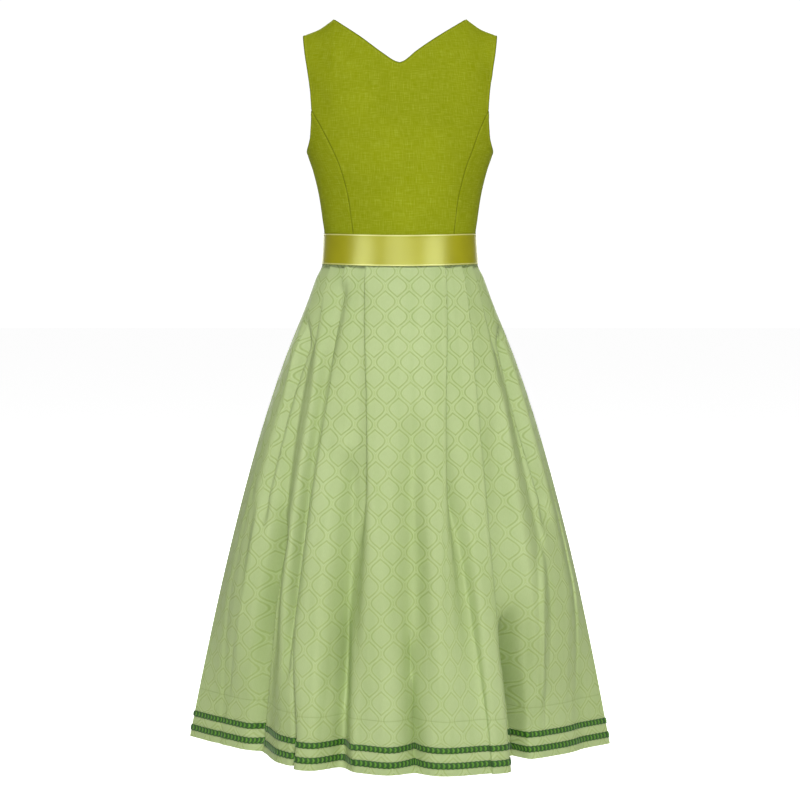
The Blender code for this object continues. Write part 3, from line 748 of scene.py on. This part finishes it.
def make_panel(name, low, high, west, east, columns, rows, lines):
    """A panel filled in between its four edges, with its seams and rolled edges raised."""
    front = name.startswith("front")
    middle = np.zeros((len(rows), len(columns), 3))
    normals = np.zeros_like(middle)
    corners = [low.at(0), low.at(low.units), high.at(0), high.at(high.units)]
    bottoms = [low.at(c / columns[-1] * low.units) for c in columns]
    tops = [high.at(c / columns[-1] * high.units) for c in columns]
    lefts = [west.at(r / rows[-1] * west.units) for r in rows]
    rights = [east.at(r / rows[-1] * east.units) for r in rows]
    for r, row in enumerate(rows):
        v = row / rows[-1]
        for c, column in enumerate(columns):
            u = column / columns[-1]
            angle, z = (
                (1 - v) * bottoms[c][k] + v * tops[c][k] + (1 - u) * lefts[r][k] + u * rights[r][k]
                - (1 - u) * (1 - v) * corners[0][k] - u * (1 - v) * corners[1][k]
                - (1 - u) * v * corners[2][k] - u * v * corners[3][k] for k in (0, 1))
            normal = torso_normal(angle, z, front)
            gap = SEAM_GAP / 2 / oval_at(TORSO, z, front)[1]
            angle += gap * (c == 0) - gap * (c == len(columns) - 1)
            z += SEAM_GAP / 2 * (r == 0)
            point = torso_point(angle, z, front)
            if shoulder_height(point.x) - z < ON_SHOULDER:
                point.y = (1 if front else -1) * SEAM_GAP / 2
                normal = Vector((normal.x, 0.0, abs(normal.z))).normalized()
            middle[r, c] = point
            normals[r, c] = normal
    to_open, to_seam = (nearest(middle, group, front) for group in lines)
    relief = rolled(to_open, EDGE_ROLLS) + rolled(to_seam, SEAM_ROLLS)
    if "side" in name:          # seam allowances, pressed to this side, raise a band
        relief += SEAM_BAND * smoothstep(*BAND_START, to_seam) * smoothstep(*BAND_END, to_seam)
    else:
        relief += rolled(to_seam, PRESSED_ROLLS)
    calm = smoothstep(*CALM, middle[:, :, 2])
    wide = drag_height(middle, front) * calm * smoothstep(0, DRAG_CLEAR, to_seam)
    inner = middle - normals * (BODICE_WALL / 2 - wide[:, :, None])
    outer = middle + normals * (BODICE_WALL / 2 + (wide + relief * calm)[:, :, None])
    girth = np.zeros(middle.shape[:2])
    girth[:, 1:] = np.cumsum(np.linalg.norm(np.diff(middle, axis=1), axis=2), axis=1)
    centre = len(columns) // 2
    cloth = np.stack([girth - girth[:, centre:centre + 1], middle[:, :, 2]], axis=2)
    sewing = np.stack([to_open, to_seam], axis=2)
    piece = shell(name + "_cloth", inner, outer, cloth, "bodice_linen", {"sewing": sewing})
    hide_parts(name)
    return piece


def back_panels(straight, side):
    """Edges, columns and rows of the three back panels."""
    neck_left, neck_right = BACK_NECK[:BACK_NECK_TIP + 1], BACK_NECK[BACK_NECK_TIP:]
    top = curve((mirrored(SHOULDER), SHOULDER_STEPS), (neck_left, NECK_STEPS),
                (neck_right, NECK_STEPS), (SHOULDER[::-1], SHOULDER_STEPS))
    left, right = seam_edge(BACK_PRINCESS_LEFT), seam_edge(BACK_PRINCESS_RIGHT)
    left_x, right_x = BACK_PRINCESS_LEFT[0][0], BACK_PRINCESS_RIGHT[0][0]
    waist_half, half = TORSO[-1].half_width, SHOULDER_STEPS + NECK_STEPS
    seam_rows = crowded(0, SEAM_ROWS, (False, True))
    rows = np.concatenate([seam_rows, crowded(SEAM_ROWS, SEAM_ROWS + ARMHOLE_ROWS)[1:]])
    columns = np.concatenate([crowded(0, half), crowded(half, 2 * half)[1:]])
    return {
        "back_centre": (
            straight(left_x, right_x, 2 * half), top,
            curve(*left, (mirrored(BACK_ARMHOLE_HIGH), ARMHOLE_ROWS)),
            curve(*right, (BACK_ARMHOLE_HIGH, ARMHOLE_ROWS)), columns, rows),
        "back_side_left": (
            straight(-waist_half, left_x, SIDE_STEPS),
            curve((mirrored(BACK_ARMHOLE_LOW), SIDE_STEPS)), turned(side, True), curve(*left),
            crowded(0, SIDE_STEPS), seam_rows),
        "back_side_right": (
            straight(right_x, waist_half, SIDE_STEPS),
            curve((BACK_ARMHOLE_LOW[::-1], SIDE_STEPS)), curve(*right), side,
            crowded(0, SIDE_STEPS), seam_rows),
    }


def front_panels(straight, side, flip):
    """Edges, columns and rows of one half of the front, mirrored if flip."""
    inner, outer, princess = row_edges()
    seam_x, last = FRONT_ROWS[0].out_x, len(FRONT_ROWS) - 1
    lower_rows = crowded(0, PRINCESS_TOP, (False, True))
    rows = np.concatenate([lower_rows, crowded(PRINCESS_TOP, last)[1:]])
    panels = {
        "front_": (
            straight(0, seam_x, FRONT_STEPS), curve((SHOULDER[::-1], FRONT_STEPS)),
            stepped(inner, [NECK_ROW]), stepped(outer, [PRINCESS_TOP]),
            crowded(0, FRONT_STEPS), rows),
        "front_side_": (
            straight(seam_x, TORSO[-1].half_width, SIDE_STEPS),
            curve((FRONT_ARMHOLE_LOW[::-1], SIDE_STEPS)), stepped(princess), side,
            crowded(0, SIDE_STEPS), lower_rows),
    }
    placed_panels = {}
    for start, (low, high, *edges, columns, rows) in panels.items():
        west, east = (turned(edge, flip) for edge in edges[::-1 if flip else 1])
        low, high = turned(low, flip, backwards=flip), turned(high, flip, backwards=flip)
        name = start + ("left" if flip else "right")
        placed_panels[name] = low, high, west, east, columns, rows
    return placed_panels


def make_bodice():
    """The seven panels of the bodice, each built as a thin shell of cloth."""
    waist = TORSO[-1].z
    side_points = [(TORSO[-1].half_width, waist), *SIDE_SEAM]

    def straight(west, east, units):
        return curve(([(west, waist), (east, waist)], units))

    panels = back_panels(straight, curve(*seam_edge(side_points)))
    for flip in (False, True):
        panels |= front_panels(straight, curve(*seam_edge(side_points, PRINCESS_TOP)), flip)
    lines = seam_lines()
    pieces = {name: make_panel(name, *panel, lines) for name, panel in panels.items()}
    return pieces


# ---- ribbon belt ----
def make_ribbon():
    """A flat band round the waist whose ends lap at centre front."""
    half_width = oval_at(TORSO, WAIST_Z, True)[0]
    depths = [oval_at(TORSO, WAIST_Z, front)[1] for front in (False, True)]
    lap_angle = RIBBON_LAP / 2 / half_width
    first, last = pi - lap_angle, 3 * pi + lap_angle
    lap_start, lap_climb = last - 2.2 * lap_angle, 0.8 * lap_angle
    shares = np.linspace(0, 1, RIBBON_ROWS)
    angles = np.linspace(first, last, RIBBON_POINTS)
    inner = np.zeros((len(shares), len(angles), 3))
    outer, cloth = np.zeros_like(inner), np.zeros((len(shares), len(angles), 2))
    half = RIBBON_WALL / 2
    for r, share in enumerate(shares):
        edge = min(share, 1 - share) * RIBBON_WIDTH
        raised = half + SELVEDGE_RISE * float(bump(edge - SELVEDGE_IN, SELVEDGE_SPREAD))
        for c, angle in enumerate(angles):
            depth = depths[cos(angle) < 0]
            z = RIBBON_MID_Z + RIBBON_WIDTH * (0.5 - share) - RIBBON_DIP * abs(cos(angle)) ** 2
            over = 1 + (angle - lap_start) / lap_climb      # climbs onto the other end
            clear = (RIBBON_CLEAR + RIBBON_FLARE * share ** 1.5
                     + LAP_LIFT * min(1.0, max(0.0, over)))
            out = Vector((sin(angle) / half_width, -cos(angle) / depth)).normalized()
            x = half_width * sin(angle) + out.x * clear
            y = -depth * cos(angle) + out.y * clear
            inner[r, c] = (x - out.x * half, y - out.y * half, z)
            outer[r, c] = (x + out.x * raised, y + out.y * raised, z)
            cloth[r, c] = (angle * half_width, (1 - share) * RIBBON_WIDTH)
    piece = shell("ribbon_satin", inner, outer, cloth, "ribbon_satin")
    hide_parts("ribbon")
    return piece


# ---- materials ----
def operator(name, swapped=False):
    """Arithmetic on what nodes give out, as a math node."""
    def apply(value, *others):
        return value.nodes.math(name, *((*others, value) if swapped else (value, *others)))
    return apply


class Value:
    """What a node gives out, so that formulas between nodes read as formulas."""
    __add__, __mul__, __truediv__ = operator("ADD"), operator("MULTIPLY"), operator("DIVIDE")
    __sub__, __rsub__ = operator("SUBTRACT"), operator("SUBTRACT", swapped=True)
    __abs__ = operator("ABSOLUTE")

    def __init__(self, nodes, socket):
        self.nodes, self.socket = nodes, socket


class Nodes:
    """Short way to write the nodes of one procedural material."""

    def __init__(self, name):
        self.material = bpy.data.materials.new(name)
        self.material.use_nodes = True
        self.tree = self.material.node_tree
        self.shader = self.tree.nodes["Principled BSDF"]

    def feed(self, node, inputs):
        for socket, value in inputs.items():
            if isinstance(value, Value):
                self.tree.links.new(value.socket, node.inputs[socket])
            else:
                node.inputs[socket].default_value = value

    def new(self, kind, inputs, output=0, **settings):
        """Output of a new node with the given inputs and settings."""
        node = self.tree.nodes.new("ShaderNode" + kind)
        for name, value in settings.items():
            setattr(node, name, value)
        self.feed(node, inputs)
        return Value(self, node.outputs[output])

    def math(self, operation, *values):
        return self.new("Math", dict(enumerate(values)), operation=operation)

    def uv(self, name):
        """The two coordinates of a UV map."""
        vector = self.new("UVMap", {}, uv_map=name)
        return [self.new("SeparateXYZ", {0: vector}, axis) for axis in (0, 1)]

    def place(self):
        return self.new("TexCoord", {}, "Object")

    def join(self, x, y, z=0.0):
        return self.new("CombineXYZ", {0: x, 1: y, 2: z})

    def noise(self, vector, scale, detail):
        return self.new("TexNoise", {"Vector": vector, "Scale": scale, "Detail": detail})

    def ramp(self, value, low, high, start=0.0, end=1.0):
        """Goes smoothly from start to end while the value goes from low to high."""
        return self.new("MapRange", {"Value": value, "From Min": low, "From Max": high,
                                     "To Min": start, "To Max": end},
                        interpolation_type="SMOOTHSTEP")

    def line(self, distance, core, rim):
        """One within `core` of a line, nothing beyond `rim`."""
        return self.ramp(abs(distance), core, rim, 1.0, 0.0)

    def mix(self, share, first, second):
        return self.new("Mix", {0: share, 6: first, 7: second}, 2, data_type="RGBA")

    def bumped(self, height, distance, strength):
        return self.new("Bump", {"Height": height, "Distance": distance, "Strength": strength})

    def finish(self, **inputs):
        """The material, its shader fed by name with _ for each space."""
        self.feed(self.shader, {name.replace("_", " "): inputs[name] for name in inputs})
        return self.material


def srgb(red, green, blue):
    """Linear colour of a 0-255 display colour."""
    def linear(value):
        value /= 255
        return value / 12.92 if value <= 0.04045 else ((value + 0.055) / 1.055) ** 2.4
    return linear(red), linear(green), linear(blue), 1.0


LINEN_DIM, LINEN_BRIGHT, LINEN_SLUB = srgb(130, 140, 2), srgb(139, 149, 6), srgb(180, 188, 70)
# The edge colour is painted shade along the open edges, where the cloth rolls away from the light.
LINEN_EDGE_SHADE, LINEN_SEAM, LINEN_STITCH = srgb(84, 92, 0), srgb(70, 76, 0), srgb(182, 190, 80)
LINEN_THREAD = 1.1 * MM         # one over and under of the weave
STITCH_LENGTH = 3.2 * MM
STITCH_IN = 5.0 * MM            # row of stitches, in from the open edges

SKIRT_DIM, SKIRT_BRIGHT = srgb(169, 187, 121), srgb(178, 196, 133)
# The shade colour is painted shade for the hollows of the skirt's soft streaks.
SKIRT_CELL, SKIRT_HOLLOW_SHADE = srgb(178, 194, 146), srgb(146, 170, 92)
SKIRT_RIDGE, SKIRT_LINE = srgb(196, 210, 164), srgb(136, 157, 88)
OGEE_WIDE = 38.0 * MM           # between neighbouring columns of the same row
OGEE_HIGH = 51.0 * MM
OGEE_SWING = OGEE_WIDE / 4      # how far the curved bands swing to each side
OGEE_BAND = 3.9 * MM            # half the width of a band, measured across the cloth
OGEE_ASIDE, OGEE_UP = 5.4 * MM, 10 * MM         # where the repeat starts

SATIN_DIM, SATIN_BRIGHT = srgb(152, 148, 2), srgb(160, 156, 6)
# The selvedge colour is a painted highlight on the thick lines inside the ribbon's edges.
SATIN_SELVEDGE_HIGHLIGHT = srgb(222, 224, 150)

# Braid colours: painted shade for the hollows of the plaits, lit colour and painted highlight for
# their crests, and dark flecks.
BRAID_HOLLOW_SHADE, BRAID_CREST_LIT = srgb(30, 74, 2), srgb(78, 136, 14)
BRAID_CREST_HIGHLIGHT, BRAID_FLECK = srgb(112, 168, 44), srgb(24, 64, 0)


def linen():
    """Olive linen with slubs, dark seams, stitched edges and painted shade along its open edges.
    """
    nodes = Nodes("linen_olive")
    u, v = nodes.uv("cloth")
    to_open, to_seam = nodes.uv("sewing")
    across = nodes.noise(nodes.join(u * 0.06, v), 900.0, 2.0)
    down = nodes.noise(nodes.join(u, v * 0.06, 3.0), 900.0, 2.0)
    slubs = nodes.ramp(across, 0.42, 0.78) + nodes.ramp(down, 0.42, 0.78)
    cloud = nodes.noise(nodes.place(), 7.0, 3.0)
    warp, weft = (nodes.math("SINE", thread * (2 * pi / LINEN_THREAD)) for thread in (u, v))
    weave = warp * weft * 0.5 + 0.5
    stitch_run = nodes.math("SINE", (u + v) * (2 * pi / STITCH_LENGTH))
    stitches = (nodes.line(to_open - STITCH_IN, 0.25 * MM, 0.6 * MM)
                * nodes.ramp(stitch_run, -0.5, 0.0))
    colour = nodes.mix(nodes.ramp(cloud, 0.3, 0.7), LINEN_DIM, LINEN_BRIGHT)
    colour = nodes.mix(slubs * 0.3, colour, LINEN_SLUB)
    # Painted shade: the linen darkens within 2.5 mm of each open edge, as the rolled edge turns
    # from the light.
    colour = nodes.mix(nodes.ramp(to_open, 1.7 * MM, 2.5 * MM, 0.62, 0.0), colour, LINEN_EDGE_SHADE)
    colour = nodes.mix(nodes.ramp(to_seam, 0.4 * MM, 1.3 * MM, 0.6, 0.0), colour, LINEN_SEAM)
    colour = nodes.mix(stitches * 0.35, colour, LINEN_STITCH)
    height = weave * 0.35 + slubs * 0.5 + stitches
    return nodes.finish(Base_Color=colour, Roughness=0.85, Specular_IOR_Level=0.05,
                        Normal=nodes.bumped(height, 0.18 * MM, 0.55))


def jacquard():
    """Pale green cloth with a raised ogee pattern and a stitched hem."""
    nodes = Nodes("jacquard_green")
    u, v = nodes.uv("cloth")
    turn = (v - OGEE_UP) * (2 * pi / OGEE_HIGH)
    swing = nodes.math("COSINE", turn) * OGEE_SWING
    slope = nodes.math("SINE", turn) * (OGEE_SWING * 2 * pi / OGEE_HIGH)
    lean = nodes.math("SQRT", slope * slope + 1.0)

    def gap_to(shift, side):
        """Distance across the cloth to the middle of the nearest band of one family."""
        moved = swing * side + (shift - OGEE_ASIDE)
        return nodes.math("PINGPONG", u - moved, OGEE_WIDE / 2)

    gap = nodes.math("MINIMUM", gap_to(OGEE_WIDE / 4, 1.0), gap_to(-OGEE_WIDE / 4, -1.0))
    past = (gap - OGEE_BAND) / lean         # distance past the edge of a band
    beside = abs(past)
    outline = nodes.ramp(beside, 0.3 * MM, 1.3 * MM, 1.0, 0.0)
    ridge = (nodes.ramp(beside, 0.9 * MM, 1.8 * MM)
             * nodes.ramp(beside, 2.1 * MM, 3.6 * MM, 1.0, 0.0)
             * nodes.ramp(past, -0.5 * MM, 0.5 * MM, 1.0, 0.55))
    cell = nodes.ramp(past, 1.0 * MM, 3.0 * MM)
    crease = nodes.line(v - HEM_TURN_UP, 0.3 * MM, 1.6 * MM)
    cloud = nodes.noise(nodes.place(), 4.0, 3.0)
    glare_patches = nodes.noise(nodes.place(), 60.0, 3.0)
    grain = nodes.noise(nodes.join(u, v * 0.15), 1100.0, 2.0)
    streaks = nodes.noise(nodes.join(u, v * 0.12), 42.0, 3.0)
    colour = nodes.mix(nodes.ramp(cloud, 0.3, 0.7), SKIRT_DIM, SKIRT_BRIGHT)
    # Painted shade: darker, greener colour in the hollows of the streaks that the bump sinks.
    colour = nodes.mix(nodes.ramp(streaks, 0.34, 0.56, 0.30, 0.0), colour, SKIRT_HOLLOW_SHADE)
    colour = nodes.mix(cell * 0.35, colour, SKIRT_CELL)
    colour = nodes.mix(ridge * 0.35, colour, SKIRT_RIDGE)
    # Painted glare: the outlines fade in soft random patches, as where light glances off the
    # cloth.
    faint = (nodes.ramp(glare_patches, 0.3, 0.65, 0.28, 0.6)
             * nodes.ramp(v, 100 * MM, 650 * MM, 0.6, 1.0))     # fainter towards the hem
    colour = nodes.mix(outline * faint, colour, SKIRT_LINE)
    colour = nodes.mix(nodes.ramp(grain, 0.35, 0.65, 0.0, 0.10), colour, SKIRT_LINE)
    colour = nodes.mix(crease * 0.3, colour, SKIRT_LINE)
    height = streaks * 5.0 + (ridge * 0.5 + grain * 0.12 - outline * 0.5) - crease * 0.8
    return nodes.finish(Base_Color=colour, Roughness=cell * -0.10 + 0.62,
                        Specular_IOR_Level=0.2, Normal=nodes.bumped(height, 0.45 * MM, 0.6))


def satin():
    """Lime satin, gently waved, with painted sheen on the waves and a painted highlight on the
    thick line inside each edge.
    """
    nodes = Nodes("satin_lime")
    u, v = nodes.uv("cloth")
    fine = nodes.noise(nodes.join(u * 0.04, v), 2600.0, 2.0)
    waves = nodes.noise(nodes.join(u, v * 0.8), 14.0, 2.0)
    edge = nodes.math("MINIMUM", v, RIBBON_WIDTH - v)
    # Painted highlight: a pale line along each selvedge bead.
    selvedge_highlight = nodes.line(edge - SELVEDGE_IN, 0.5 * MM, 1.1 * MM)
    # Painted sheen: the satin is a little brighter where its waves rise.
    colour = nodes.mix(nodes.ramp(waves, 0.3, 0.7), SATIN_DIM, SATIN_BRIGHT)
    return nodes.finish(Base_Color=nodes.mix(selvedge_highlight * 0.7, colour, SATIN_SELVEDGE_HIGHLIGHT),
                        Roughness=0.30, Specular_IOR_Level=0.8,
                        Specular_Tint=(0.9, 1.0, 0.62, 1.0),
                        Normal=nodes.bumped(fine * 0.25 + waves * 2.4, 0.30 * MM, 0.45))


def braid():
    """Dark green braid with painted shade in the hollows of its plaits and a painted highlight on
    their crests.
    """
    nodes = Nodes("braid_green")
    plait = nodes.uv("ruche")[0]
    fine = nodes.noise(nodes.join(*nodes.uv("cloth")), 1500.0, 3.0)
    patch = nodes.noise(nodes.place(), 45.0, 2.0)
    # Painted highlight on the crests of the plaits, in patches; below it the colour runs from
    # painted shade in the hollows to lit colour on the crests.
    light = nodes.ramp(plait, 0.72, 0.98) * nodes.ramp(patch, 0.35, 0.6, 0.3, 1.0)
    colour = nodes.mix(nodes.ramp(plait, 0.25, 0.9), BRAID_HOLLOW_SHADE, BRAID_CREST_LIT)
    colour = nodes.mix(light * 0.75, colour, BRAID_CREST_HIGHLIGHT)
    colour = nodes.mix(nodes.ramp(fine, 0.4, 0.7, 0.0, 0.35), colour, BRAID_FLECK)
    return nodes.finish(Base_Color=colour, Roughness=0.6, Sheen_Weight=0.2,
                        Specular_IOR_Level=0.3, Normal=nodes.bumped(fine, 0.35 * MM, 0.6))


# ---- scene ----
FLOOR_Z, FLOOR_HALF = -1.42, 60.0
AIM = Vector((0.0, 0.0, -0.55))         # what every lamp points at
CAMERA_AWAY, CAMERA_Z = 3.0, -0.462
SEEN_WIDTH = 1.32                       # width of the picture at the dress
SENSOR = 36.0                           # millimetres
LENS_SHIFT = -0.125                     # the picture reaches further down than up
SKY_LIGHT = 0.15
FLOOR_WHITE, SKY_WHITE = 0.86, 0.9      # added where the camera sees them

Lamp = namedtuple("Lamp", "name place width power")
LAMPS = [
    Lamp("key", (0.3, -6.0, 4.0), 1.7, 375.0),
    Lamp("far_key", (-0.3, 6.0, 4.0), 1.7, 390.0),
    Lamp("fill", (-0.6, -5.0, -0.3), 2.2, 20.0),
    Lamp("low_right", (3.6, -2.8, -0.9), 1.6, 18.0),
    Lamp("low_left", (-3.6, -2.8, -0.9), 1.6, 9.0),
    Lamp("side_left", (-4.0, 0.1, 0.8), 1.6, 5.0),
    Lamp("side_right", (4.0, 0.3, 0.8), 1.6, 5.0),
    Lamp("sheen", (0.0, -4.4, 0.8), 3.0, 80.0),
    Lamp("sheen_left", (-3.2, -3.4, 0.8), 2.4, 95.0),
    Lamp("sheen_right", (3.0, -3.5, 0.8), 2.4, 95.0),
    Lamp("sheen_far_left", (-1.5, 4.2, 0.8), 3.0, 85.0),
    Lamp("sheen_far_right", (1.5, 4.2, 0.8), 3.0, 85.0),
]


def placed(name, data, place):
    """A new object of the scene."""
    thing = bpy.data.objects.new(name, data)
    thing.location = place
    bpy.context.scene.collection.objects.link(thing)
    return thing


def seen_white(tree, output, lighting, strength):
    """A surface or sky that lights the dress softly and is itself seen as bright white."""
    bright = tree.nodes.new("ShaderNodeEmission")
    bright.inputs["Strength"].default_value = strength
    added = tree.nodes.new("ShaderNodeAddShader")
    chosen = tree.nodes.new("ShaderNodeMixShader")
    rays = tree.nodes.new("ShaderNodeLightPath")
    for source, target in ((lighting, added.inputs[0]), (bright.outputs[0], added.inputs[1]),
                           (rays.outputs["Is Camera Ray"], chosen.inputs[0]),
                           (lighting, chosen.inputs[1]), (added.outputs[0], chosen.inputs[2]),
                           (chosen.outputs[0], output.inputs["Surface"])):
        tree.links.new(source, target)


def stage():
    """Pale floor, white surroundings, soft lights and the camera."""
    mesh = bpy.data.meshes.new("floor")
    corners = [(-1, -1), (1, -1), (1, 1), (-1, 1)]
    mesh.from_pydata([(x * FLOOR_HALF, y * FLOOR_HALF, FLOOR_Z) for x, y in corners], [],
                     [(0, 1, 2, 3)])
    placed("floor", mesh, (0.0, 0.0, 0.0))
    nodes = Nodes("floor_pale")
    grain = nodes.noise(nodes.place(), 3.0, 2.0)
    colour = nodes.mix(grain, (0.78, 0.78, 0.78, 1.0), (0.8, 0.8, 0.8, 1.0))
    mesh.materials.append(nodes.finish(Base_Color=colour, Roughness=0.9, Specular_IOR_Level=0.0))
    seen_white(nodes.tree, nodes.tree.nodes["Material Output"], nodes.shader.outputs[0],
               FLOOR_WHITE)

    world = bpy.data.worlds.new("studio")
    bpy.context.scene.world = world
    world.use_nodes = True
    back = world.node_tree.nodes["Background"]
    back.inputs["Color"].default_value = (1.0, 1.0, 1.0, 1.0)
    back.inputs["Strength"].default_value = SKY_LIGHT
    seen_white(world.node_tree, world.node_tree.nodes["World Output"], back.outputs[0],
               SKY_WHITE)

    for name, place, width, power in LAMPS:
        light = bpy.data.lights.new(name, "AREA")
        light.shape, light.size, light.energy = "DISK", width, power
        lamp = placed(name, light, place)
        lamp.visible_diffuse = not name.startswith("sheen")     # broad panels, only reflected
        lamp.visible_glossy = not name.startswith("side")
        lamp.rotation_euler = (AIM - lamp.location).to_track_quat("-Z", "Y").to_euler()

    lens = bpy.data.cameras.new("camera")
    lens.sensor_width = SENSOR
    lens.lens = SENSOR * CAMERA_AWAY / SEEN_WIDTH
    lens.shift_y = LENS_SHIFT
    lens.clip_start = 0.1
    camera = placed("camera", lens, (0.0, -CAMERA_AWAY, CAMERA_Z))
    camera.rotation_euler = (pi / 2, 0.0, 0.0)
    bpy.context.scene.camera = camera
    bpy.context.scene.view_settings.view_transform = "Standard"


def main():
    stage()
    finishes = {"bodice_linen": linen(), "ribbon_satin": satin(), "skirt_jacquard": jacquard(),
                "hem_braid": braid()}
    pieces = list(make_bodice().values()) + [make_ribbon()]
    for front in (False, True):
        skirt, middle, normals = make_skirt(front)
        pieces.append(skirt)
        pieces += [make_braid(row, front, middle, normals, skirt) for row in BRAIDS]
    for piece in pieces:
        piece.data.materials.append(finishes[piece["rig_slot"]])


main()
